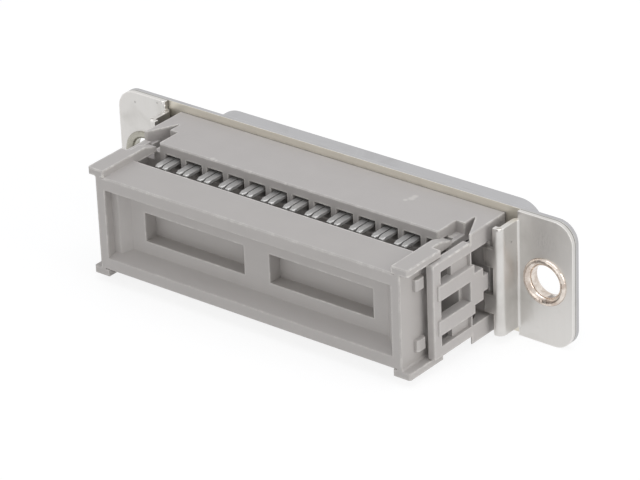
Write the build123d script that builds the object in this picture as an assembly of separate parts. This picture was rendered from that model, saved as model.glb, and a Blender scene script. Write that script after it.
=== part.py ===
from build123d import *
import math
import os

# A 25-way D-subminiature socket connector for flat ribbon cable, with its rear cover in the
# open position, ready for the cable. Millimetres. X runs along the connector, +Y towards the
# mating side, +Z up. The origin lies between the two mounting holes, on the mounting face.

# Shell and flange
flange_length = 53.04
flange_height = 12.55
flange_corner = 2.0
hole_end_margin = 3.00
shell_sheet = 0.45
shell_end_from_hole = 4.33
shell_height = 7.90
shell_reach = 5.40
shell_corner = 2.6
shell_side_angle = 10.0
shell_rim_round = 0.30
shell_root_round = 0.45

# Contacts: the mating rows, the cable rows and the stamped sections
mating_pitch = 2.76
mating_row_z = 1.42
row_end_margin = 2.50
wire_pitch = 1.27
arm_to_fork = 0.10
fork_row_z = 4.05
fork_width = 1.42
fork_sheet = 0.30
fork_slot = 0.18
fork_slot_depth = 2.60
fork_reach = 1.90
tip_width = 0.38
tip_outer_x = 0.60
tip_outer_taper = 0.25
tip_inner_taper = 0.35
tip_bevel = 0.08
crank_end_width = 0.50
stem_insert = 0.30
barrel_diameter = 1.60
barrel_bore = 1.04
barrel_bore_depth = 3.60

# Front insulator
insulator_clearance = 0.05
insulator_recess = 0.15
shoulder_end_inset = 1.14
shoulder_height = 8.80
shoulder_depth = 0.60
entry_diameter = 1.20
entry_depth = 0.60
entry_funnel = 0.25
barrel_clearance = 0.06

# Housing
housing_end_inset = 0.24
housing_height = 11.00
arm_seat_width = 2.70
block_reach = 6.52
block_edge = 0.12
shoulder_reach = 5.45
core_height = 8.70
core_reach = 6.20
cavity_width = 1.90
cavity_height = 1.30
cavity_depth = 1.50
cavity_above_fork = 0.35
fork_clearance = 0.03
chamber_end_wall = 2.05
chamber_height = 8.80
chamber_reach = 3.45
notch_width = 0.95
notch_wall_reach = 3.80
deep_notch_width = 0.15
deep_notch_reach = 2.40
notch_tip_land = 0.10
arm_slot_floor = 3.40
side_recess_depth = 2.20
side_recess_height = 7.40
side_recess_back = 5.28

# Latch frame on each end of the housing
frame_sheet = 0.77
frame_height = 9.40
frame_reach = 10.95
frame_edge = 0.10
bar_depth = 1.10
window_length = 1.97
web_recess = 0.35
finger_proud = 0.20
finger_setback = 0.55
finger_inner_z = 1.00
finger_outer_z = 2.45
finger_round = 0.12
center_window_front = 5.75
boss_reach = (5.10, 3.83, 3.05)
boss_half_height = (2.45, 1.60, 0.80)
boss_root = 0.15

# Cover
cover_end_inset = 1.35
cover_height = 9.58
cover_depth = 4.40
cover_edge = 0.12
cable_gap = 3.13
latch_travel = 2.40
arm_inset = 0.90
arm_width = 1.82
arm_rise = 0.68
arm_front_lap = 0.65
arm_corner = 0.15
arm_root_round = 0.20
nose_width = 0.92
nose_sheet = 1.02
nose_reach = 3.25
nose_root = 0.50
nose_ramp_length = 1.60
nose_ramp_drop = 0.52
bump_rise = 0.45
bump_start = 1.85
bump_length = 1.33
bump_height = 1.15
bump_center_z = 3.02
bump_lead = 0.25
rim_side = 1.00
rim_top = 1.24
recess_depth = 1.70
recess_top_slope = 0.75
ledge_depth = 0.90
ledge_width = 0.75
ledge_slope = 0.90
pocket_inner_x = 1.50
pocket_end_wall = 4.30
pocket_height = 2.94
pocket_depth = 1.50
fork_pocket_side = 0.10
fork_pocket_above = 0.22
fork_pocket_end = 0.40
wire_diameter = 0.90
wire_groove_depth = 0.28
wire_groove_length = 6.80

# Rear brackets and eyelets
bracket_sheet = 0.50
lip_to_hole = 3.42
bend_inner_radius = 0.25
lip_height = 10.80
lip_reach = 3.10
curl_inner_radius = 0.15
curl_end_from_hole = 3.82
hook_bite = 0.25
hook_low_z = 1.40
hook_high_z = 3.25
hook_clearance = 0.05
eyelet_bore = 3.10
eyelet_wall = 0.35
eyelet_clearance = 0.04
eyelet_rim = 4.68
eyelet_throat_front = 0.15
eyelet_throat_length = 0.50
eyelet_front_flare = 0.12
eyelet_rear_flare = 0.42
eyelet_roll = 0.28
eyelet_front_lip = 0.20

# Derived places
hole_x = flange_length / 2 - hole_end_margin
shell_width = 2 * (hole_x - shell_end_from_hole)
shoulder_half = shell_width / 2 - shoulder_end_inset
body_front = -shell_sheet
body_half = shell_width / 2 - housing_end_inset
body_top = housing_height / 2
block_half = body_half - arm_seat_width
block_back = body_front - block_reach
core_top = core_height / 2
chamber_back = body_front - chamber_reach
shoulder_back = body_front - shoulder_reach
frame_back = body_front - frame_reach
frame_inner = body_half - frame_sheet
finger_face = body_half + finger_proud
cover_front = block_back - cable_gap
cover_back = cover_front - cover_depth
cover_half = body_half - cover_end_inset
cover_top = cover_height / 2
arm_inner_x = cover_half - arm_inset
fork_tip = block_back - fork_reach
insulator_front = shell_reach - insulator_recess
insulator_back = body_front - shoulder_depth
barrel_front = insulator_front - entry_depth
bracket_back = body_front - bracket_sheet
bracket_inner_x = hole_x - lip_to_hole
lip_back = body_front - lip_reach
hook_front = lip_back + bracket_sheet
eyelet_hole = eyelet_bore + 2 * eyelet_wall + 2 * eyelet_clearance
beyond = 1.0

# Contacts in the wider row: as many as both sides have room for, 13 at these sizes
room_on_cable = (arm_inner_x - arm_to_fork - (fork_width + wire_pitch) / 2) / wire_pitch
room_in_shell = (shell_width - 2 * row_end_margin) / mating_pitch
wide_row_count = 1 + int(min(room_on_cable, room_in_shell))


def block(x, y, z):
    """Box between pairs of limits along X, Y and Z."""
    size = [abs(b - a) for a, b in (x, y, z)]
    middle = [(a + b) / 2 for a, b in (x, y, z)]
    return Pos(*middle) * Box(*size)


def both_ends(piece):
    """The piece and its mirror image at the other end of the connector."""
    return [piece, piece.mirror(Plane.YZ)]


def four_corners(piece):
    """The piece mirrored to both ends and to both long sides."""
    return both_ends(piece) + both_ends(piece.mirror(Plane.XY))


def plate(points, low, high):
    """Solid from an outline in X and Y, between two heights."""
    return Pos(0, 0, low) * extrude(make_face(Polyline(*points, close=True)), amount=high - low)


def forward(face, start, length):
    """Solid from a face in X and Z, from Y = start towards +Y."""
    return Pos(0, start, 0) * extrude(Plane.XZ * face, amount=-length)


def shaft(x, z, diameter, start, end):
    """Round bar along Y between two places."""
    return Pos(x, (start + end) / 2, z) * Rot(-90, 0, 0) * Cylinder(diameter / 2, end - start)


def d_outline(inset):
    """The shell's D shape, wide side up, set in from its outside."""
    angle = math.radians(shell_side_angle)
    top = shell_height / 2
    wide = shell_width / 2 + shell_corner * (1 / math.cos(angle) - 1 + math.tan(angle))
    narrow = wide - shell_height * math.tan(angle)
    outline = make_face(Polyline((wide, top), (narrow, -top), (-narrow, -top), (-wide, top), close=True))
    outline = fillet(outline.vertices(), shell_corner)
    return offset(outline, amount=-inset) if inset else outline


def contact_places():
    """Cable-side X, mating-side X and row direction of every contact."""
    places = []
    for row, count in ((1, wide_row_count), (-1, wide_row_count - 1)):
        for index in range(count):
            step = index - (count - 1) / 2
            places.append((step * 2 * wire_pitch + wire_pitch / 2, step * mating_pitch, row))
    return places


def make_front_shell():
    """Drawn metal shell: flange plate with the D-shaped collar, open at both ends."""
    flange = forward(RectangleRounded(flange_length, flange_height, flange_corner), body_front, shell_sheet)
    collar = forward(d_outline(0), body_front, shell_reach - body_front)
    rim = [edge for edge in collar.edges() if edge.center().Y > shell_reach - shell_rim_round]
    shell = flange + fillet(rim, shell_rim_round)
    root = [edge for edge in shell.edges()
            if abs(edge.center().Y) < shell_root_round / 2
            and abs(edge.center().X) < shell_width / 2 + beyond
            and abs(edge.center().Z) < (shell_height + flange_height) / 4]
    shell = fillet(root, shell_root_round)
    cuts = [forward(d_outline(shell_sheet), body_front - beyond, shell_reach + 3 * beyond)]
    for x in (-hole_x, hole_x):
        cuts.append(shaft(x, 0, eyelet_hole, body_front - beyond, beyond))
    return shell - cuts


def make_front_insulator():
    """Moulded D-shaped block that holds the sockets, with a shoulder behind the flange."""
    plug = forward(d_outline(shell_sheet + insulator_clearance), body_front, insulator_front - body_front)
    shoulder = block((-shoulder_half, shoulder_half), (insulator_back, body_front),
                     (-shoulder_height / 2, shoulder_height / 2))
    cuts = []
    for _, x, row in contact_places():
        z = row * mating_row_z
        cuts.append(shaft(x, z, barrel_diameter + 2 * barrel_clearance,
                          insulator_back - beyond, barrel_front))
        cuts.append(shaft(x, z, entry_diameter, barrel_front - beyond, insulator_front + beyond))
        funnel = Cone(entry_diameter / 2, entry_diameter / 2 + entry_funnel, entry_funnel)
        cuts.append(Pos(x, insulator_front - entry_funnel / 2, z) * Rot(-90, 0, 0) * funnel)
    return plug + shoulder - cuts


def fork_blade():
    """Flat fork with a slot for the wire and two bevelled tips, seen from above."""
    half = fork_width / 2
    gap = fork_slot / 2
    root = fork_tip + fork_slot_depth - gap
    inner_tip = tip_outer_x - tip_width
    right = [(half, chamber_back), (half, fork_tip + tip_outer_taper), (tip_outer_x, fork_tip),
             (inner_tip, fork_tip), (gap, fork_tip + tip_inner_taper), (gap, root)]
    left = [(-x, y) for x, y in reversed(right)]
    outline = Polyline(*right) + RadiusArc(right[-1], left[0], -gap) + Polyline(*left, right[0])
    blade = extrude(make_face(outline), amount=fork_sheet / 2, both=True)
    bevelled = [edge for edge in blade.edges()
                if edge.center().Y < fork_tip + tip_outer_taper and abs(edge.center().Z) > fork_sheet / 3]
    return chamfer(bevelled, tip_bevel)


def make_contact(cable_x, mating_x, row):
    """Stamped contact: fork for the wire, crank between the rows, rolled socket barrel."""
    fork_z = row * fork_row_z
    barrel_z = row * mating_row_z
    barrel_back = insulator_back + stem_insert
    facing = {"x_dir": (1, 0, 0), "z_dir": (0, 1, 0)}
    start = Plane((cable_x, chamber_back, fork_z), **facing) * Rectangle(fork_width, fork_sheet)
    end = Plane((mating_x, insulator_back, barrel_z), **facing) * Rectangle(crank_end_width, fork_sheet)
    crank = loft([start, end], ruled=True)
    stem = block((mating_x - crank_end_width / 2, mating_x + crank_end_width / 2),
                 (insulator_back, barrel_back), (barrel_z - fork_sheet / 2, barrel_z + fork_sheet / 2))
    barrel = shaft(mating_x, barrel_z, barrel_diameter, barrel_back, barrel_front)
    barrel -= shaft(mating_x, barrel_z, barrel_bore, barrel_front - barrel_bore_depth, barrel_front + beyond)
    return Pos(cable_x, 0, fork_z) * fork_blade() + crank + stem + barrel


def arm_notch():
    """Space in the upper right shoulder for the cover's arm, with a deep slot along the latch frame."""
    slot_x = block_half + notch_width
    slot_front = body_front - deep_notch_reach
    slant_x = body_half - notch_tip_land
    rear = block_back - beyond
    above = body_top + beyond
    ledge = block((block_half, slot_x), (rear, body_front - notch_wall_reach), (core_top, above))
    outline = [(slot_x, rear), (slot_x, slot_front), (slot_x + deep_notch_width, slot_front),
               (slant_x, shoulder_back), (slant_x, rear)]
    beside_nose = block((slot_x, frame_inner), (rear, body_front), (arm_slot_floor, core_top))
    slot = plate(outline, arm_slot_floor, core_top) & beside_nose
    return ledge + plate(outline, core_top, above) + slot


def latch_frame():
    """Right-hand latch frame: rear bar, rails, recessed webs, windows and two fingers."""
    top = frame_height / 2
    bar_front = frame_back + bar_depth
    window_front = bar_front + window_length
    window_top = side_recess_height / 2
    frame = block((frame_inner, body_half), (frame_back, shoulder_back), (-top, top))
    rear_edges = [edge for edge in frame.edges()
                  if abs(edge.center().Y - frame_back) < frame_edge and abs(edge.center().Z) < frame_edge]
    frame = fillet(rear_edges, frame_edge)
    through = (frame_inner - beyond, body_half + beyond)
    cuts = [block(through, (bar_front, body_front - center_window_front),
                  (-finger_inner_z, finger_inner_z))]
    fingers = []
    for side in (1, -1):
        window_z = (side * finger_outer_z, side * window_top)
        cuts.append(block(through, (bar_front, window_front), window_z))
        cuts.append(block((body_half - web_recess, body_half + beyond),
                          (window_front, shoulder_back + beyond), window_z))
        finger = block((frame_inner, finger_face),
                       (frame_back + finger_setback, body_front - center_window_front),
                       (side * finger_inner_z, side * finger_outer_z))
        ends = [edge for edge in finger.edges()
                if edge.center().Y < frame_back + finger_setback + finger_round
                and edge.center().X > finger_face - finger_round]
        fingers.append(fillet(ends, finger_round))
    return frame - cuts + fingers


def side_boss():
    """Stepped boss at the right-hand end, which joins the fingers and points between the hooks."""
    rear = body_front - center_window_front
    upper = []
    for reach, half_height in zip(boss_reach, boss_half_height):
        upper += [(rear, half_height), (body_front - reach, half_height)]
        rear = body_front - reach
    lower = [(y, -z) for y, z in reversed(upper)]
    inner = body_half - side_recess_depth - boss_root
    outline = make_face(Polyline(*upper, *lower, close=True))
    return Pos(inner, 0, 0) * extrude(Plane.YZ * outline, amount=finger_face - inner)


def make_housing():
    """Moulded housing: contact block, shoulders with arm notches, and latch frames at the ends."""
    contact_block = block((-block_half, block_half), (block_back, body_front), (-body_top, body_top))
    rear_edges = [edge for edge in contact_block.edges() if edge.center().Y < block_back + block_edge]
    shoulders = block((-body_half, body_half), (shoulder_back, body_front), (-body_top, body_top))
    core = block((-frame_inner, frame_inner), (body_front - core_reach, body_front), (-core_top, core_top))
    body = shoulders + core - four_corners(arm_notch()) + chamfer(rear_edges, block_edge)
    recess = block((body_half - side_recess_depth, body_half + beyond),
                   (body_front - side_recess_back, hook_front + hook_clearance),
                   (-side_recess_height / 2, side_recess_height / 2))
    body = body + both_ends(latch_frame()) - both_ends(recess) + both_ends(side_boss())
    chamber_half = body_half - chamber_end_wall
    seat_half_x = shoulder_half + insulator_clearance
    seat_half_z = shoulder_height / 2 + insulator_clearance
    cuts = [block((-chamber_half, chamber_half), (chamber_back, body_front + beyond),
                  (-chamber_height / 2, chamber_height / 2)),
            block((-seat_half_x, seat_half_x), (insulator_back, body_front + beyond),
                  (-seat_half_z, seat_half_z))]
    cavity_y = (block_back - beyond, block_back + cavity_depth)
    slot_y = (block_back, chamber_back + beyond / 2)
    slot_half_x = fork_width / 2 + fork_clearance
    slot_half_z = fork_sheet / 2 + fork_clearance
    for x, _, row in contact_places():
        z = row * fork_row_z
        ceiling = z + row * (fork_sheet / 2 + cavity_above_fork)
        floor = ceiling - row * cavity_height
        cuts.append(block((x - cavity_width / 2, x + cavity_width / 2), cavity_y, (floor, ceiling)))
        cuts.append(block((x - slot_half_x, x + slot_half_x), slot_y, (z - slot_half_z, z + slot_half_z)))
    return body - cuts


def cover_arm():
    """Upper right arm: wide rear part that overhangs the side, narrow nose with a ramp."""
    arm_top = cover_top + arm_rise
    arm_outer = arm_inner_x + arm_width
    wide = block((arm_inner_x, arm_outer), (cover_back, frame_back + bar_depth + arm_front_lap),
                 (cover_top, arm_top))
    corner = [edge for edge in wide.edges()
              if edge.center().X > arm_outer - arm_corner and edge.center().Y < cover_back + arm_corner
              and cover_top < edge.center().Z < arm_top]
    wide = chamfer(corner, arm_corner)
    tip = cover_front + nose_reach
    under = arm_top - nose_sheet
    outline = [(cover_front - nose_root, under), (cover_front - nose_root, arm_top),
               (tip - nose_ramp_length, arm_top), (tip, arm_top - nose_ramp_drop), (tip, under)]
    nose = extrude(Plane.YZ * make_face(Polyline(*outline, close=True)), amount=nose_width)
    return wide + Pos(arm_inner_x, 0, 0) * nose


def arm_root():
    """Concave round under the upper right arm, where it overhangs the end of the cover."""
    limits = (cover_back, cover_front - nose_root)
    corner = block((cover_half - rim_side / 2, cover_half + arm_root_round), limits,
                   (cover_top - arm_root_round, cover_top + arm_rise / 2))
    center = (cover_half + arm_root_round, cover_top - arm_root_round)
    return corner - shaft(*center, 2 * arm_root_round, *limits)


def cover_bump():
    """Upper right snap bump on the end of the cover, bevelled at both ends."""
    start = cover_back + bump_start
    end = start + bump_length
    face = cover_half + bump_rise
    root = cover_half - rim_side / 2
    outline = [(root, start), (face - bump_lead / 2, start), (face, start + bump_lead),
               (face, end - bump_lead), (cover_half, end), (root, end)]
    return plate(outline, bump_center_z - bump_height / 2, bump_center_z + bump_height / 2)


def rear_recess():
    """Sunken panel of the cover's rear face, with a ledge at each end and sloped long walls."""
    mouth_x = cover_half - rim_side
    mouth_z = cover_top - rim_top
    ledge_x = mouth_x - ledge_width
    floor = cover_back + recess_depth
    right = [(mouth_x, cover_back - beyond), (mouth_x, cover_back + ledge_depth),
             (ledge_x, cover_back + ledge_depth), (ledge_x - ledge_slope, floor)]
    ends = plate(right + [(-x, y) for x, y in reversed(right)], -cover_height, cover_height)
    upper = [(cover_back - beyond, mouth_z), (cover_back, mouth_z), (floor, mouth_z - recess_top_slope)]
    section = make_face(Polyline(*(upper + [(y, -z) for y, z in reversed(upper)]), close=True))
    return ends & extrude(Plane.YZ * section, amount=cover_half, both=True)


def make_cover():
    """Moulded cover that presses the cable onto the forks, drawn in its open position."""
    body = block((-cover_half, cover_half), (cover_back, cover_front), (-cover_top, cover_top))
    long_edges = [edge for edge in body.edges()
                  if abs(edge.center().X) < cover_edge and edge.center().Y < cover_back + cover_edge]
    cover = chamfer(long_edges, cover_edge) + four_corners(cover_arm()) + four_corners(arm_root())
    cover = cover + four_corners(cover_bump())
    panel = cover_back + recess_depth
    pocket = block((pocket_inner_x, cover_half - pocket_end_wall), (panel - beyond, panel + pocket_depth),
                   (-pocket_height / 2, pocket_height / 2))
    cuts = [rear_recess()] + both_ends(pocket)
    pocket_half_x = fork_width / 2 + fork_pocket_side
    pocket_half_z = fork_sheet / 2 + fork_pocket_above
    closed_fork_tip = fork_tip - latch_travel
    entry_y = (closed_fork_tip - fork_pocket_end, cover_front + beyond)
    groove_y = cover_front + wire_diameter / 2 - wire_groove_depth
    for x, _, row in contact_places():
        z = row * fork_row_z
        entry_z = (z - pocket_half_z, z + pocket_half_z)
        cuts.append(block((x - pocket_half_x, x + pocket_half_x), entry_y, entry_z))
        cuts.append(Pos(x, groove_y, 0) * Cylinder(wire_diameter / 2, wire_groove_length))
    return cover - cuts


def bent_section():
    """Section of the right-hand bracket in X and Y: ear, bend, lip, and the curl at its rear end."""
    outer_x = bracket_inner_x + bracket_sheet
    bend_outer = bend_inner_radius + bracket_sheet
    curl_outer = curl_inner_radius + bracket_sheet
    joint_x = outer_x + bend_outer
    curl_x = hole_x - curl_end_from_hole
    front_bend = [(bracket_inner_x + bend_outer, body_front), (bracket_inner_x, body_front - bend_outer)]
    inner_curl = [(bracket_inner_x, hook_front + curl_inner_radius),
                  (bracket_inner_x - curl_inner_radius, hook_front)]
    outer_curl = [(outer_x - curl_outer, lip_back), (outer_x, lip_back + curl_outer)]
    rear_bend = [(outer_x, bracket_back - bend_inner_radius), (outer_x + bend_inner_radius, bracket_back)]
    outline = (Polyline((joint_x, body_front), front_bend[0]) + RadiusArc(*front_bend, -bend_outer)
               + Line(front_bend[1], inner_curl[0]) + RadiusArc(*inner_curl, curl_inner_radius)
               + Polyline(inner_curl[1], (curl_x, hook_front), (curl_x, lip_back), outer_curl[0])
               + RadiusArc(*outer_curl, -curl_outer) + Line(outer_curl[1], rear_bend[0])
               + RadiusArc(*rear_bend, bend_inner_radius)
               + Polyline(rear_bend[1], (joint_x, bracket_back), (joint_x, body_front)))
    return make_face(outline)


def make_rear_bracket():
    """Right-hand bracket: ear plate, lip with a curled end, and two hooks into the housing's side."""
    outer = flange_length / 2
    half = flange_height / 2
    outer_x = bracket_inner_x + bracket_sheet
    ear = block((outer_x, outer), (bracket_back, body_front), (-half, half))
    corners = [edge for edge in ear.edges()
               if edge.center().X > outer - flange_corner / 2
               and abs(edge.center().Z) > half - flange_corner / 2
               and bracket_back < edge.center().Y < body_front]
    ear = fillet(corners, flange_corner)
    lip = extrude(bent_section(), amount=lip_height / 2, both=True)
    hook = block((body_half - hook_bite, bracket_inner_x - curl_inner_radius), (lip_back, hook_front),
                 (hook_low_z, hook_high_z))
    hole = shaft(hole_x, 0, eyelet_hole, bracket_back - beyond, beyond)
    return ear + lip + hook + hook.mirror(Plane.XY) - hole


def make_eyelet():
    """Rolled eyelet that clamps the right-hand bracket to the flange, flared at both ends."""
    inner = eyelet_bore / 2
    outer = inner + eyelet_wall
    rim = eyelet_rim / 2
    throat_back = -eyelet_throat_front - eyelet_throat_length
    crest = (inner + eyelet_rear_flare, bracket_back - eyelet_roll)
    mouth = (inner + eyelet_front_flare, eyelet_front_lip)
    profile = (Polyline(mouth, (rim, eyelet_front_lip), (rim, 0), (outer, 0), (outer, bracket_back),
                        (rim, bracket_back))
               + TangentArc((rim, bracket_back), crest, tangent=(0, -1))
               + TangentArc((inner, throat_back), crest, tangent=(0, -1))
               + Line((inner, throat_back), (inner, -eyelet_throat_front))
               + TangentArc((inner, -eyelet_throat_front), mouth, tangent=(0, 1)))
    return Pos(hole_x, 0, 0) * revolve(make_face(profile), Axis.Y)


def write(name, piece):
    """Writes one sub-part under its node name."""
    piece.label = name
    export_step(piece, "parts/" + name + ".step")


def main():
    """Builds every sub-part and writes it."""
    os.makedirs("parts", exist_ok=True)
    write("front_shell", make_front_shell())
    write("front_insulator", make_front_insulator())
    write("housing", make_housing())
    write("cover", make_cover())
    for name, piece in (("rear_bracket", make_rear_bracket()), ("eyelet", make_eyelet())):
        for side, copy in zip(("right", "left"), both_ends(piece)):
            write(name + "_" + side, copy)
    for number, place in enumerate(contact_places(), start=1):
        write("contact_%02d" % number, make_contact(*place))


main()
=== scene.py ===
"""Dresses the ribbon cable connector: moulded grey plastic, plated sheet metal, rolled eyelets."""

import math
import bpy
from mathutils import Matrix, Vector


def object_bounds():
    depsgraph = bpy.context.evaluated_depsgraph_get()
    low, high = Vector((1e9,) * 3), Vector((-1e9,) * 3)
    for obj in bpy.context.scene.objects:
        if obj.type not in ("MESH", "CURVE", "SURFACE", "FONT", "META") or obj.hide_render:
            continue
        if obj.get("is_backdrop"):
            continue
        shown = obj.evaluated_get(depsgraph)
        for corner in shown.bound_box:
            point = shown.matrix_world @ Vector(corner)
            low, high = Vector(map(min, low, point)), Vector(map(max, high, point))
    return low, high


bl_info = {
    "name": "Ribbon Cable Connector Finishes",
    "version": (1, 0, 0),
    "blender": (4, 5, 0),
    "location": "View3D > Sidebar > Connector",
    "description": "Gives the connector's mouldings, sheet metal and contacts their finishes",
    "category": "Object",
}

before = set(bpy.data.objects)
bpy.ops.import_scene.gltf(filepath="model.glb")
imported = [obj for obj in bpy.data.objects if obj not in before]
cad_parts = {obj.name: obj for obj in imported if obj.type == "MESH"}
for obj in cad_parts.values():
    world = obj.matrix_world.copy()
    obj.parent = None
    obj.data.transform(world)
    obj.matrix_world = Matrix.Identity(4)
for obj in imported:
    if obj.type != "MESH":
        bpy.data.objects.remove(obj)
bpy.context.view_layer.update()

import bmesh
import bpy
from bpy.props import FloatProperty, FloatVectorProperty, PointerProperty
from mathutils import Matrix, Vector

MM = 0.001

# Edges that stand out: samples, and the share of open rays where an edge begins and is full
EDGE_SAMPLES = 8
EDGE_OPENNESS = (0.95, 0.70)
BEVEL_SAMPLES = 6

# Marks: the core that is full and the rim where nothing is left, as shares of the radius
MARK_CORE = 0.5
MARK_RIM = 1.2

# Patterns of the moulded skin: lumps to the millimetre
MOTTLE_PER_MM = 0.35
FLOW_PER_MM = 0.8
FLOW_STRETCH = (0.25, 1.2, 1.2)
GRAIN_PER_MM = 9.0
WEAR_PER_MM = 1.3

# How much each pattern tells in the colour, the roughness and the height of the moulded skin
SKIN_TINT = {"mottle": 0.30, "flow": 0.24, "grain": 0.15}
SKIN_DARKEST = 0.86
SKIN_LIGHTEST = 1.12
SKIN_ROUGHNESS = {"flow": 0.14, "grain": 0.08, "edge": -0.12}
SKIN_HEIGHT = {"flow": 0.8, "grain": 0.6}
SKIN_RELIEF_MM = 0.012
SKIN_ROUNDING = 0.5

# Painted highlight and wear on the moulded edges: everywhere, in patches, and more painted highlight above
# the first of these heights, where the top catches the light
EDGE_HIGHLIGHT_AND_WEAR_BASE = 0.22
EDGE_HIGHLIGHT_AND_WEAR_PATCHES = 0.38
EDGE_HIGHLIGHT_AND_WEAR_PATCH_RANGE = (0.46, 0.62)
TOP_EDGE_HIGHLIGHT_EXTRA = 0.9
TOP_EDGE_HIGHLIGHT_HEIGHTS = (4.0, 4.5)
FLECK_STRENGTH = 0.5

# Patterns of the plated sheet: lumps to the millimetre, and where stains and scratches show
STAIN_PER_MM = 0.30
STAIN_RANGE = (0.50, 0.78)
DENT_PER_MM = 0.5
SCRATCH_STRETCH = (7.0, 7.0, 1.4)
SCRATCH_RANGE = (0.44, 0.64)

# How much each of them tells in the colour, the roughness and the height of the plated sheet
PLATING_STAIN = {"stains": 0.7, "lines": 0.3, "rub": 0.5}
PLATING_DIRT = {"pit": 0.5, "rub": 0.14}
PLATING_DIRT_SHADE = 0.4
PLATING_ROUGHNESS = {"stains": 0.12, "lines": 0.10, "rub": 0.15, "edge": -0.05, "glint": -0.15}
PLATING_HEIGHT = {"lines": 0.15, "glint": 2.0}
PLATING_RELIEF_MM = 0.03
PLATING_ROUNDING = 0.6
# How much lighter the painted highlights on the metal's edges and glints are
METAL_HIGHLIGHT_LIGHTNESS = 1.3

# Rolled eyelets: wear, streaks round the bore, and the painted highlights on their edges
EYELET_WEAR_PER_MM = 0.9
EYELET_WEAR_RANGE = (0.38, 0.62)
EYELET_STREAKS_PER_MM = 3.2
EYELET_STREAK_STRETCH = (1.0, 0.2, 1.0)
EYELET_STREAK_ROUGHNESS = 0.16
EYELET_EDGE_MM = 0.10
EYELET_EDGE_GLOW = 0.5
EYELET_ROUNDING_MM = 0.05

# Places of the marks: the centre and the radius of each, in millimetres
BRACKET_PITS = (((-24.43, -0.95, 5.26), 0.13), ((-21.60, -0.95, 5.89), 0.10), ((20.60, -1.90, 3.60), 0.12),
                ((24.60, -0.95, 1.90), 0.10), ((-23.10, -0.95, -2.40), 0.12))
# Glints: painted highlights on the bent and torn corners of the brackets
BRACKET_GLINTS = (((-20.95, -0.95, 6.20), 0.20), ((-20.60, -0.95, 5.75), 0.16), ((-20.55, -1.20, 5.35), 0.26),
                 ((-20.30, -1.60, 5.40), 0.16), ((-20.30, -3.30, 5.40), 0.26), ((20.30, -3.40, 5.40), 0.24))
RUBBED_PATCH = (((23.56, -0.95, 4.04), 1.15),)
HOUSING_FLECKS = (((10.04, -3.53, 5.50), 0.24), ((10.35, -3.02, 5.50), 0.36), ((10.36, -2.49, 5.50), 0.32),
                  ((-9.90, -6.72, 5.50), 0.26), ((-9.40, -6.80, 5.48), 0.16), ((-5.30, -6.90, 5.46), 0.20),
                  ((-1.10, -6.95, 5.42), 0.16))

# Where the painted shade in the gaps between parts and the painted warm reflection on the shell's rear face
# begin and are full, along Y in millimetres
HOUSING_GAP_SHADE = (-0.65, -0.53)
BRACKET_GAP_SHADE = (-0.58, -0.52)
SHELL_REAR_REFLECTION = (-0.41, -0.44)
# Strength and tone of the painted shade in the gaps, on plastic and on metal
PLASTIC_GAP_SHADE_STRENGTH, PLASTIC_GAP_SHADE_TONE = 0.85, 0.3
METAL_GAP_SHADE_STRENGTH, METAL_GAP_SHADE_TONE = 0.9, 0.2
# Tint of the painted warm reflection of the plastics on the shell's rear face
WARM_REFLECTION_TINT = (0.765, 0.727, 0.642)

# Rolling lines of each sheet, as factors on its axes, and how sharp the sheet's edges are
SHELL_ROLLING = (0.15, 2.5, 2.5)
BRACKET_ROLLING = (2.5, 2.5, 0.2)
CONTACT_ROLLING = (3.0, 0.3, 3.0)
SHEET_EDGE_MM = 0.12
CONTACT_EDGE_MM = 0.10

# Finishes that differ from the settings of the panel
SHELL_ADDED_ROUGHNESS = 0.08
CONTACT_ROUGHNESS = 0.38
CONTACT_METALLIC = 0.6
INSULATOR_SHADE = 0.9
# Tone of the thin plating on the left eyelet, taken from its painted shaded colour
SHADED_EYELET_BARE_TONE = 0.8
EYELET_ROUGHNESS = {"right": 0.11, "left": 0.28}

# Stage: the floor, the surround, the lamps and the camera
FLOOR_HALF_WIDTH = 0.9
FLOOR_SEGMENTS = 8
FLOOR_GAP_MM = 0.02
FLOOR_COLOUR = (0.94, 0.94, 0.94)
FLOOR_ROUGHNESS = 0.9
FLOOR_GLOW = 1.06
FLOOR_GLOW_SHARE = 0.8
WHITE = (1, 1, 1)
SURROUND_COLOUR = (0.98, 0.99, 1.0)
LAMPS = (  # name, setting with its power, side and place in metres, colour
    ("key lamp", "key_power", 0.30, (0.05, -0.02, 0.34), (0.95, 0.96, 1.03)),
    ("side lamp", "fill_power", 0.16, (0.30, 0.00, 0.09), (1.0, 0.99, 0.97)),
    ("front lamp", "front_power", 0.30, (-0.05, -0.40, 0.10), (1.0, 0.99, 0.97)),
)
SENSOR_WIDTH_MM = 36.0
IMAGE_WIDTH_PX = 640
CLIP_RANGE = (0.01, 10.0)
FLANGE_REAR_MM = (0, -0.45, 0)


class Wire:
    """An output of a node, which takes part in shader maths written as Python expressions."""

    def __init__(self, finish, socket):
        self.finish = finish
        self.socket = socket

    def maths(self, operation, first, second=0.0, clamp=False):
        """One Math node on wires or numbers."""
        settings = {"operation": operation, "use_clamp": clamp}
        return self.finish.node("ShaderNodeMath", settings, {0: first, 1: second})

    def __add__(self, other):
        return self.maths("ADD", self, other)

    def __sub__(self, other):
        return self.maths("SUBTRACT", self, other)

    def __rsub__(self, other):
        return self.maths("SUBTRACT", other, self)

    def __mul__(self, other):
        return self.maths("MULTIPLY", self, other)

    __radd__ = __add__
    __rmul__ = __mul__

    def clamped(self):
        """The value kept between 0 and 1."""
        return self.maths("ADD", self, 0.0, clamp=True)

    def centred(self):
        """Noise from 0 to 1 as a change from -0.5 to 0.5."""
        return self - 0.5


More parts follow.
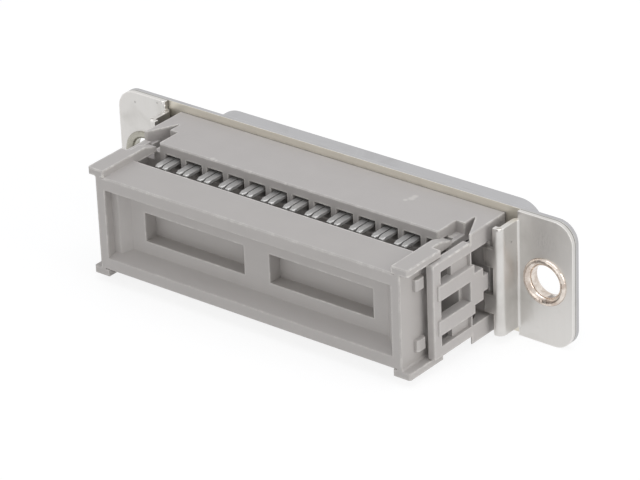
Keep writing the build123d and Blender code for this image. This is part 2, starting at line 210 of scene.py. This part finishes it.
class Finish:
    """The shader nodes of one material, or of the surround."""

    def __init__(self, owner):
        owner.use_nodes = True
        self.owner = owner
        self.tree = owner.node_tree
        self.tree.nodes.clear()

    def node(self, kind, settings=None, inputs=None, output=0):
        """Adds a node, sets it up, fills or links its inputs and gives one of its outputs."""
        made = self.tree.nodes.new(kind)
        for key, value in (settings or {}).items():
            setattr(made, key, value)
        for key, value in (inputs or {}).items():
            if isinstance(value, Wire):
                self.tree.links.new(value.socket, made.inputs[key])
            else:
                made.inputs[key].default_value = value
        return Wire(self, made.outputs[output]) if made.outputs else None

    def place_mm(self):
        """The place on the piece, in millimetres of the object's own frame."""
        place = self.node("ShaderNodeTexCoord", output="Object")
        return self.node("ShaderNodeVectorMath", {"operation": "SCALE"}, {0: place, "Scale": 1 / MM})

    def stretched(self, place, factors):
        """The place with each axis multiplied by its own factor."""
        return self.node("ShaderNodeVectorMath", {"operation": "MULTIPLY"}, {0: place, 1: factors})

    def cloud(self, place, per_mm, detail=3.0, roughness=0.55, distortion=0.0):
        """Soft noise from 0 to 1 with so many lumps to the millimetre."""
        inputs = {"Vector": place, "Scale": per_mm, "Detail": detail, "Roughness": roughness,
                  "Distortion": distortion}
        return self.node("ShaderNodeTexNoise", {}, inputs)

    def ramp(self, value, low, high):
        """0 at low, 1 at high and a straight slope between."""
        inputs = {"Value": value, "From Min": low, "From Max": high}
        return self.node("ShaderNodeMapRange", {"clamp": True}, inputs)

    def blend(self, factor, first, second):
        """Mixes two colours."""
        return self.node("ShaderNodeMix", {"data_type": "RGBA"}, {0: factor, 6: first, 7: second}, output=2)

    def along(self, axis, place, start, end):
        """0 before the start and 1 past the end, along one of the connector's axes in millimetres."""
        coordinate = self.node("ShaderNodeSeparateXYZ", {}, {"Vector": place}, output=axis)
        return self.ramp(coordinate, start, end)

    def marks(self, place, spots):
        """1 inside any of the round spots, each a centre and a radius in millimetres, with soft rims."""
        inside = 0.0
        for centre, radius in spots:
            away = self.node("ShaderNodeVectorMath", {"operation": "DISTANCE"}, {0: place, 1: centre},
                             output="Value")
            inside = inside + (1 - self.ramp(away, radius * MARK_CORE, radius * MARK_RIM))
        return inside.clamped() if spots else 0.0

    def outward_edges(self, reach):
        """1 on edges and corners that stand out, fading to 0 within the reach."""
        settings = {"inside": True, "only_local": True, "samples": EDGE_SAMPLES}
        openness = self.node("ShaderNodeAmbientOcclusion", settings, {"Distance": reach}, output="AO")
        return self.ramp(openness, *EDGE_OPENNESS)

    def relief(self, height, depth_mm, rounding):
        """Normal with bumps of a real depth, which runs smoothly over edges within the rounding."""
        rounded = self.node("ShaderNodeBevel", {"samples": BEVEL_SAMPLES}, {"Radius": rounding})
        inputs = {"Strength": 1.0, "Distance": depth_mm * MM, "Height": height, "Normal": rounded}
        return self.node("ShaderNodeBump", {}, inputs)

    def close(self, **inputs):
        """Ends the material with a shader that has these inputs."""
        named = {key.replace("_", " ").title(): value for key, value in inputs.items()}
        shader = self.node("ShaderNodeBsdfPrincipled", {}, named)
        self.node("ShaderNodeOutputMaterial", {}, {"Surface": shader})
        return self.owner


def rgba(colour):
    """A colour of three numbers as the four that a socket takes."""
    return (*colour, 1.0)


def shaded(colour, factor):
    """A colour made darker or lighter, with no channel past 1."""
    return [min(1.0, channel * factor) for channel in colour]


def new_material(name):
    """Shader nodes of a new material."""
    return Finish(bpy.data.materials.new(name))


def moulded_plastic(name, colour, edge_highlight_colour, roughness, edge_reach, flecks=(), gap_shade=None):
    """Satin moulded plastic: fine grain, faint flow marks, edges paled by a painted highlight and wear, pale
    flecks and a painted shadow in the gap between parts.
    """
    finish = new_material(name)
    place = finish.place_mm()
    edge = finish.outward_edges(edge_reach)
    mottle = finish.cloud(place, MOTTLE_PER_MM)
    flow = finish.cloud(finish.stretched(place, FLOW_STRETCH), FLOW_PER_MM, detail=4.0, distortion=0.6)
    grain = finish.cloud(place, GRAIN_PER_MM, detail=2.0)

    shade = (mottle.centred() * SKIN_TINT["mottle"] + flow.centred() * SKIN_TINT["flow"]
             + grain.centred() * SKIN_TINT["grain"] + 0.5)
    body = finish.blend(shade.clamped(), rgba(shaded(colour, SKIN_DARKEST)),
                        rgba(shaded(colour, SKIN_LIGHTEST)))
    # Painted highlight and wear on the outward edges, in patches, with more painted highlight on the lit top
    patchy = finish.ramp(finish.cloud(place, WEAR_PER_MM), *EDGE_HIGHLIGHT_AND_WEAR_PATCH_RANGE)
    lit_top = finish.along("Z", place, *TOP_EDGE_HIGHLIGHT_HEIGHTS)
    edge_highlight_and_wear = edge * (patchy * EDGE_HIGHLIGHT_AND_WEAR_PATCHES + EDGE_HIGHLIGHT_AND_WEAR_BASE) * (lit_top * TOP_EDGE_HIGHLIGHT_EXTRA + 1.0)
    pale = edge_highlight_and_wear + finish.marks(place, flecks) * FLECK_STRENGTH
    skin = finish.blend(pale.clamped(), body, rgba(edge_highlight_colour))
    # Painted shade in the gap where the part meets the shell
    if gap_shade:
        skin = finish.blend(finish.along("Y", place, *gap_shade) * PLASTIC_GAP_SHADE_STRENGTH, skin,
                            rgba(shaded(colour, PLASTIC_GAP_SHADE_TONE)))

    sheen = (roughness + flow.centred() * SKIN_ROUGHNESS["flow"]
             + grain.centred() * SKIN_ROUGHNESS["grain"] + edge * SKIN_ROUGHNESS["edge"])
    height = grain * SKIN_HEIGHT["grain"] + flow * SKIN_HEIGHT["flow"]
    return finish.close(base_color=skin, roughness=sheen,
                        normal=finish.relief(height, SKIN_RELIEF_MM, edge_reach * SKIN_ROUNDING))


def plated_sheet(name, colour, stain_colour, roughness, rolling, edge_reach, metallic=1.0, edge_glow=0.5,
                 pits=(), glints=(), rubbed=(), gap_shade=None, warm_reflection_side=None):
    """Plated sheet metal: rolling lines, stains, pits, a rubbed patch, painted glints and edge highlights,
    painted shade in a gap and a painted warm reflection.
    """
    finish = new_material(name)
    place = finish.place_mm()
    edge = finish.outward_edges(edge_reach)
    clouds = finish.cloud(place, STAIN_PER_MM, detail=4.0, roughness=0.5, distortion=0.5)
    stains = finish.ramp(clouds, *STAIN_RANGE)
    lines = finish.cloud(finish.stretched(place, rolling), 1.0, detail=4.0, roughness=0.7)
    dents = finish.cloud(place, DENT_PER_MM, detail=2.0)
    scratches = finish.cloud(finish.stretched(place, SCRATCH_STRETCH), 1.0, detail=5.0, roughness=0.8)
    pit = finish.marks(place, pits)
    glint = finish.marks(place, glints)
    rub = finish.marks(place, rubbed) * finish.ramp(scratches, *SCRATCH_RANGE)

    stained = (stains * PLATING_STAIN["stains"] + lines.centred() * PLATING_STAIN["lines"]
               + rub * PLATING_STAIN["rub"])
    body = finish.blend(stained.clamped(), rgba(colour), rgba(stain_colour))
    dirt = rub * PLATING_DIRT["rub"] + pit * PLATING_DIRT["pit"]
    dirty = finish.blend(dirt.clamped(), body, rgba(shaded(stain_colour, PLATING_DIRT_SHADE)))
    # Painted highlights on the outward edges and at the glints
    skin = finish.blend((edge * edge_glow + glint).clamped(), dirty, rgba(shaded(colour, METAL_HIGHLIGHT_LIGHTNESS)))
    # Painted shade in the gap where the sheet meets the shell
    if gap_shade:
        skin = finish.blend(finish.along("Y", place, *gap_shade) * METAL_GAP_SHADE_STRENGTH, skin,
                            rgba(shaded(colour, METAL_GAP_SHADE_TONE)))
    # Painted warm reflection of the plastics on the rear face
    if warm_reflection_side:
        skin = finish.blend(finish.along("Y", place, *warm_reflection_side), skin, rgba(WARM_REFLECTION_TINT))

    sheen = (roughness + stains * PLATING_ROUGHNESS["stains"]
             + lines.centred() * PLATING_ROUGHNESS["lines"] + rub * PLATING_ROUGHNESS["rub"]
             + edge * PLATING_ROUGHNESS["edge"] + glint * PLATING_ROUGHNESS["glint"])
    height = dents + lines * PLATING_HEIGHT["lines"] - pit + glint * PLATING_HEIGHT["glint"]
    return finish.close(base_color=skin, metallic=metallic, roughness=sheen,
                        normal=finish.relief(height, PLATING_RELIEF_MM, edge_reach * PLATING_ROUNDING))


def tinned_copper(name, colour, bare_colour, roughness):
    """Tin over copper: warm where the plating is thin, with drawn streaks round the bore."""
    finish = new_material(name)
    place = finish.place_mm()
    wear = finish.cloud(place, EYELET_WEAR_PER_MM, detail=4.0, distortion=1.0)
    streaks = finish.cloud(finish.stretched(place, EYELET_STREAK_STRETCH), EYELET_STREAKS_PER_MM)
    edge = finish.outward_edges(EYELET_EDGE_MM * MM)
    warm = finish.blend(finish.ramp(wear, *EYELET_WEAR_RANGE), rgba(colour), rgba(bare_colour))
    # Painted highlights on the eyelet's outward edges
    skin = finish.blend(edge * EYELET_EDGE_GLOW, warm, rgba(shaded(colour, METAL_HIGHLIGHT_LIGHTNESS)))
    return finish.close(base_color=skin, metallic=1.0,
                        roughness=roughness + streaks.centred() * EYELET_STREAK_ROUGHNESS,
                        normal=finish.relief(streaks, PLATING_RELIEF_MM, EYELET_ROUNDING_MM * MM))


def dress(node, material):
    """Gives a construction node its finish, in place of the plain one it came with."""
    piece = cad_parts[node]
    piece.data.materials.clear()
    piece.data.materials.append(material)


class CONNECTOR_PG_plastic(bpy.types.PropertyGroup):
    """Colours and grain of the mouldings."""

    colour: FloatVectorProperty(name="Moulding", description="Grey of the housing",
                                subtype="COLOR", default=(0.470, 0.446, 0.430))
    cover_colour: FloatVectorProperty(name="Cover", description="Grey of the cover",
                                      subtype="COLOR", default=(0.455, 0.432, 0.414))
    # Colour of the painted highlight and wear on the rounded edges
    edge_highlight_colour: FloatVectorProperty(name="Edges", description="Paler grey of the rounded edges",
                                     subtype="COLOR", default=(0.69, 0.665, 0.63))
    roughness: FloatProperty(name="Roughness", description="Roughness of the moulded skin",
                             subtype="FACTOR", min=0.0, max=1.0, default=0.46)
    edge_reach: FloatProperty(name="Edge reach", description="Width of the paler moulded edges",
                              unit="LENGTH", default=0.23 * MM)


class CONNECTOR_PG_metal(bpy.types.PropertyGroup):
    """Colours and sheen of the plated sheet, the eyelets and the contacts."""

    shell_colour: FloatVectorProperty(name="Shell", description="Plating of the front shell",
                                      subtype="COLOR", default=(0.47, 0.468, 0.475))
    shell_stain: FloatVectorProperty(name="Shell stains", description="Dull patches on the shell",
                                     subtype="COLOR", default=(0.40, 0.395, 0.395))
    bracket_colour: FloatVectorProperty(name="Brackets", description="Plating of the rear brackets",
                                        subtype="COLOR", default=(0.655, 0.64, 0.62))
    stain_colour: FloatVectorProperty(name="Stains", description="Dull patches on the plating",
                                      subtype="COLOR", default=(0.52, 0.505, 0.48))
    eyelet_colour: FloatVectorProperty(name="Eyelets", description="Plating of the right eyelet",
                                       subtype="COLOR", default=(0.78, 0.715, 0.65))
    copper_colour: FloatVectorProperty(name="Thin plating", description="Where the copper shows through",
                                       subtype="COLOR", default=(0.54, 0.455, 0.395))
    # Painted shade: the left eyelet's darker olive colour stands in for the body's shadow and reflection on
    # it
    shaded_eyelet_colour: FloatVectorProperty(name="Shaded eyelet", description="Plating of the left eyelet",
                                     subtype="COLOR", default=(0.44, 0.425, 0.37))
    contact_colour: FloatVectorProperty(name="Contacts", description="Tinned contact strip",
                                        subtype="COLOR", default=(0.53, 0.525, 0.515))
    sheet_roughness: FloatProperty(name="Roughness", description="Roughness of the plated sheet",
                                   subtype="FACTOR", min=0.0, max=1.0, default=0.37)


class CONNECTOR_PG_stage(bpy.types.PropertyGroup):
    """Camera and lamps."""

    azimuth: FloatProperty(name="Azimuth", description="Camera's turn round the connector",
                           subtype="ANGLE", default=math.radians(39.319))
    elevation: FloatProperty(name="Elevation", description="Camera's height above the horizon",
                             subtype="ANGLE", default=math.radians(27.117))
    roll: FloatProperty(name="Roll", description="Camera's roll", subtype="ANGLE",
                        default=math.radians(-2.346))
    distance: FloatProperty(name="Distance", description="From the camera to the flange's rear face",
                            unit="LENGTH", default=339.60 * MM)
    aside: FloatProperty(name="Aside", description="How far the connector stands right of centre",
                         unit="LENGTH", default=1.92 * MM)
    above: FloatProperty(name="Above", description="How far the connector stands above centre",
                         unit="LENGTH", default=2.475 * MM)
    focal_px: FloatProperty(name="Focal length", description="Focal length in pixels of the picture",
                            default=3654.4)
    world_light: FloatProperty(name="Surround", description="Brightness of the surrounding light",
                               default=0.56)
    key_power: FloatProperty(name="Key lamp", description="Power of the lamp overhead", unit="POWER",
                             default=0.40)
    fill_power: FloatProperty(name="Side lamp", description="Power of the lamp on the right",
                              unit="POWER", default=0.25)
    front_power: FloatProperty(name="Front lamp", description="Power of the lamp in front of the cover",
                               unit="POWER", default=0.16)


class CONNECTOR_OT_mouldings(bpy.types.Operator):
    """Finish the housing, the cover and the front insulator as moulded plastic"""

    bl_idname = "connector.dress_mouldings"
    bl_label = "Mouldings"
    bl_options = {"REGISTER", "UNDO"}

    def execute(self, context):
        look = context.scene.connector_plastic
        rest = (look.edge_highlight_colour, look.roughness, look.edge_reach)
        dress("housing", moulded_plastic("housing grey", look.colour, *rest, HOUSING_FLECKS, HOUSING_GAP_SHADE))
        dress("cover", moulded_plastic("cover grey", look.cover_colour, *rest))
        inner_grey = shaded(look.colour, INSULATOR_SHADE)
        dress("front_insulator", moulded_plastic("insulator grey", inner_grey, *rest))
        return {"FINISHED"}


class CONNECTOR_OT_shell(bpy.types.Operator):
    """Finish the drawn front shell as plated sheet"""

    bl_idname = "connector.dress_shell"
    bl_label = "Front shell"
    bl_options = {"REGISTER", "UNDO"}

    def execute(self, context):
        look = context.scene.connector_metal
        # Painted highlights on the shell's edges and a painted warm reflection on its rear face
        skin = plated_sheet("plated shell", look.shell_colour, look.shell_stain,
                            look.sheet_roughness + SHELL_ADDED_ROUGHNESS, SHELL_ROLLING,
                            SHEET_EDGE_MM * MM, edge_glow=0.25, warm_reflection_side=SHELL_REAR_REFLECTION)
        dress("front_shell", skin)
        return {"FINISHED"}


class CONNECTOR_OT_brackets(bpy.types.Operator):
    """Finish the two rear brackets as bright plated sheet"""

    bl_idname = "connector.dress_brackets"
    bl_label = "Rear brackets"
    bl_options = {"REGISTER", "UNDO"}

    def execute(self, context):
        look = context.scene.connector_metal
        # Painted highlights on the edges and glints, and painted shade in the gap at the flange
        skin = plated_sheet("plated bracket", look.bracket_colour, look.stain_colour,
                            look.sheet_roughness, BRACKET_ROLLING, SHEET_EDGE_MM * MM, edge_glow=0.7,
                            pits=BRACKET_PITS, glints=BRACKET_GLINTS, rubbed=RUBBED_PATCH,
                            gap_shade=BRACKET_GAP_SHADE)
        for side in ("left", "right"):
            dress("rear_bracket_" + side, skin)
        return {"FINISHED"}


class CONNECTOR_OT_eyelets(bpy.types.Operator):
    """Finish the two rolled eyelets as tinned copper"""

    bl_idname = "connector.dress_eyelets"
    bl_label = "Eyelets"
    bl_options = {"REGISTER", "UNDO"}

    def execute(self, context):
        look = context.scene.connector_metal
        dress("eyelet_right", tinned_copper("tinned copper", look.eyelet_colour, look.copper_colour,
                                            EYELET_ROUGHNESS["right"]))
        # The left eyelet's darker colour is painted shade and reflection of the body
        dress("eyelet_left", tinned_copper("dulled copper", look.shaded_eyelet_colour,
                                           shaded(look.shaded_eyelet_colour, SHADED_EYELET_BARE_TONE),
                                           EYELET_ROUGHNESS["left"]))
        return {"FINISHED"}


class CONNECTOR_OT_contacts(bpy.types.Operator):
    """Finish the stamped contacts as tinned strip"""

    bl_idname = "connector.dress_contacts"
    bl_label = "Contacts"
    bl_options = {"REGISTER", "UNDO"}

    def execute(self, context):
        look = context.scene.connector_metal
        # Painted highlights on the contacts' edges
        skin = plated_sheet("tinned contact", look.contact_colour, look.stain_colour, CONTACT_ROUGHNESS,
                            CONTACT_ROLLING, CONTACT_EDGE_MM * MM, metallic=CONTACT_METALLIC,
                            edge_glow=1.0)
        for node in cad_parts:
            if node.startswith("contact_"):
                dress(node, skin)
        return {"FINISHED"}


def add_lamp(name, power, size, place, colour):
    """Soft square lamp at a place, turned towards the connector."""
    lamp = bpy.data.lights.new(name, "AREA")
    lamp.shape = "SQUARE"
    lamp.size, lamp.energy, lamp.color = size, power, colour
    holder = bpy.data.objects.new(name, lamp)
    bpy.context.scene.collection.objects.link(holder)
    holder.location = place
    holder.rotation_mode = "QUATERNION"
    holder.rotation_quaternion = (-Vector(place)).to_track_quat("-Z", "Y")


def seen_directly(finish):
    """1 for rays that show the background: to the camera, off metal or through glass."""
    camera, glossy, through = [finish.node("ShaderNodeLightPath", output=ray)
                               for ray in ("Is Camera Ray", "Is Glossy Ray", "Is Transmission Ray")]
    return (camera + glossy + through).clamped()


class CONNECTOR_OT_stage(bpy.types.Operator):
    """Set up the pale floor, the surrounding light, the lamps and the camera"""

    bl_idname = "connector.set_stage"
    bl_label = "Stage"
    bl_options = {"REGISTER", "UNDO"}

    def execute(self, context):
        stage = context.scene.connector_stage
        context.scene.view_settings.view_transform = "Standard"
        self.floor()
        self.surround(stage)
        for name, setting, size, place, colour in LAMPS:
            add_lamp(name, getattr(stage, setting), size, place, colour)
        self.camera(stage)
        return {"FINISHED"}

    def floor(self):
        """Pale floor under the lowest edge, which keeps the object's shadow."""
        low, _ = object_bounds()
        shape = bmesh.new()
        bmesh.ops.create_grid(shape, x_segments=FLOOR_SEGMENTS, y_segments=FLOOR_SEGMENTS,
                              size=FLOOR_HALF_WIDTH)
        bmesh.ops.translate(shape, verts=shape.verts, vec=(0, 0, low.z - FLOOR_GAP_MM * MM))
        mesh = bpy.data.meshes.new("floor")
        shape.to_mesh(mesh)
        shape.free()
        finish = new_material("white floor")
        lit = finish.node("ShaderNodeBsdfPrincipled", {},
                          {"Base Color": rgba(FLOOR_COLOUR), "Roughness": FLOOR_ROUGHNESS})
        glow = finish.node("ShaderNodeEmission", {}, {"Color": rgba(WHITE), "Strength": FLOOR_GLOW})
        share = seen_directly(finish) * FLOOR_GLOW_SHARE
        mixed = finish.node("ShaderNodeMixShader", {}, {0: share, 1: lit, 2: glow})
        finish.node("ShaderNodeOutputMaterial", {}, {"Surface": mixed})
        mesh.materials.append(finish.owner)
        floor = bpy.data.objects.new("floor", mesh)
        bpy.context.scene.collection.objects.link(floor)
        floor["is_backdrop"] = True

    def surround(self, stage):
        """Even light from all round, and pure white where the surround itself is seen."""
        world = bpy.data.worlds.new("surround")
        bpy.context.scene.world = world
        finish = Finish(world)
        light = finish.node("ShaderNodeBackground", {},
                            {"Color": rgba(SURROUND_COLOUR), "Strength": stage.world_light})
        white = finish.node("ShaderNodeBackground", {}, {"Color": rgba(WHITE), "Strength": 1.0})
        mixed = finish.node("ShaderNodeMixShader", {}, {0: seen_directly(finish), 1: light, 2: white})
        finish.node("ShaderNodeOutputWorld", {}, {"Surface": mixed})

    def camera(self, stage):
        """Camera at the fitted place, turned and rolled as in the picture."""
        azimuth, elevation, roll = stage.azimuth, stage.elevation, stage.roll
        back = Vector((math.sin(azimuth) * math.cos(elevation), -math.cos(azimuth) * math.cos(elevation),
                       math.sin(elevation)))
        level = Vector((math.cos(azimuth), math.sin(azimuth), 0))
        upright = back.cross(level)
        right = level * math.cos(roll) + upright * math.sin(roll)
        up = upright * math.cos(roll) - level * math.sin(roll)
        data = bpy.data.cameras.new("camera")
        data.sensor_width = SENSOR_WIDTH_MM
        data.lens = stage.focal_px / IMAGE_WIDTH_PX * SENSOR_WIDTH_MM
        data.clip_start, data.clip_end = CLIP_RANGE
        holder = bpy.data.objects.new("camera", data)
        bpy.context.scene.collection.objects.link(holder)
        target = Vector(FLANGE_REAR_MM) * MM
        place = target + back * stage.distance - right * stage.aside - up * stage.above
        turn = Matrix((right, up, back)).transposed()
        holder.matrix_world = Matrix.Translation(place) @ turn.to_4x4()
        bpy.context.scene.camera = holder


class CONNECTOR_PT_panel(bpy.types.Panel):
    """Lists the settings of the finishes and the stage, with the operators that apply them."""

    bl_idname = "CONNECTOR_PT_panel"
    bl_label = "Connector"
    bl_space_type = "VIEW_3D"
    bl_region_type = "UI"
    bl_category = "Connector"

    def draw(self, context):
        for group in (context.scene.connector_plastic, context.scene.connector_metal,
                      context.scene.connector_stage):
            for name in group.bl_rna.properties.keys():
                if name not in ("rna_type", "name"):
                    self.layout.prop(group, name)
        for operator in OPERATORS:
            self.layout.operator(operator.bl_idname)


OPERATORS = (CONNECTOR_OT_mouldings, CONNECTOR_OT_shell, CONNECTOR_OT_brackets, CONNECTOR_OT_eyelets,
             CONNECTOR_OT_contacts, CONNECTOR_OT_stage)
GROUPS = {"connector_plastic": CONNECTOR_PG_plastic, "connector_metal": CONNECTOR_PG_metal,
          "connector_stage": CONNECTOR_PG_stage}


def register():
    """Registers the settings, the operators and the panel."""
    for name, group in GROUPS.items():
        bpy.utils.register_class(group)
        setattr(bpy.types.Scene, name, PointerProperty(type=group))
    for operator in OPERATORS:
        bpy.utils.register_class(operator)
    bpy.utils.register_class(CONNECTOR_PT_panel)


def unregister():
    """Takes the panel, the operators and the settings away again."""
    bpy.utils.unregister_class(CONNECTOR_PT_panel)
    for operator in reversed(OPERATORS):
        bpy.utils.unregister_class(operator)
    for name, group in GROUPS.items():
        delattr(bpy.types.Scene, name)
        bpy.utils.unregister_class(group)


def main():
    """Dresses every piece and sets the stage."""
    register()
    bpy.ops.connector.dress_mouldings()
    bpy.ops.connector.dress_shell()
    bpy.ops.connector.dress_brackets()
    bpy.ops.connector.dress_eyelets()
    bpy.ops.connector.dress_contacts()
    bpy.ops.connector.set_stage()


if __name__ == "__main__":
    main()
